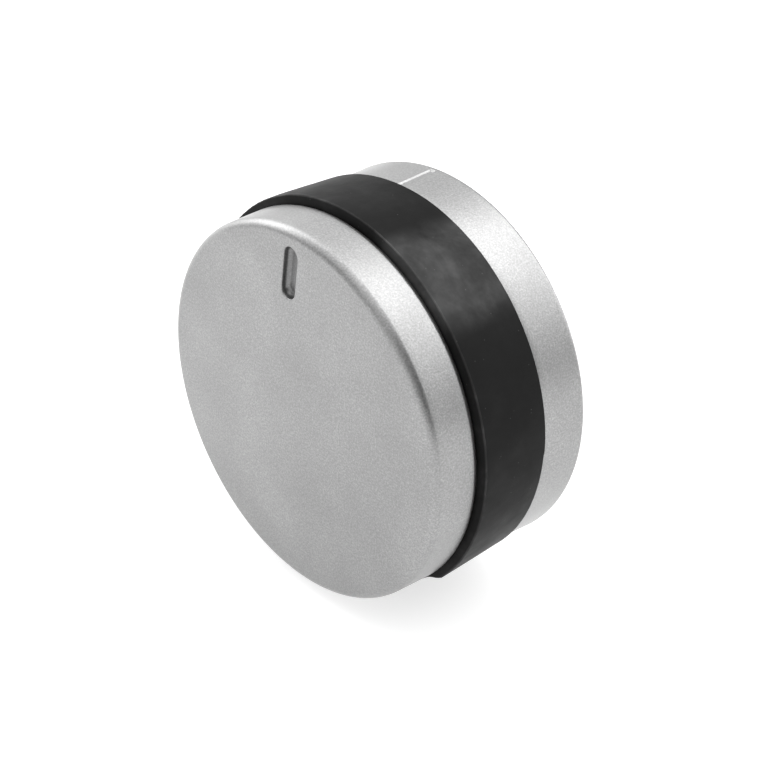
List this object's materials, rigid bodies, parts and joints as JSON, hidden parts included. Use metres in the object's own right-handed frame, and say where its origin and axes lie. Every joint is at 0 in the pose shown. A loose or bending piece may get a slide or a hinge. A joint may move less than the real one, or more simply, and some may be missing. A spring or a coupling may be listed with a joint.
{
  "type": "stove knob",
  "caption": "Round hob control knob: silver body with pointer recess and hollow back, black rubber grip ring in a groove, D-section shaft socket with leaf spring.",
  "frame": {"origin": "on the shaft axis, in the plane of the rear rim", "axes": "+Z along the shaft out of the front face, +Y towards the pointer, +X to the right seen from the front"},
  "size_m": [0.046, 0.046, 0.0215],
  "materials": {
    "silver_paint": "fine metallic silver paint, satin",
    "black_rubber": "black rubber, satin and slightly smudged",
    "black_nylon": "black glass-filled nylon, matt",
    "spring_steel": "bright spring strip"
  },
  "bodies": {
    "root": {"knob_body": "silver_paint", "grip_ring": "black_rubber", "shaft_insert": "black_nylon", "shaft_spring": "spring_steel"}
  },
  "joints": []
}
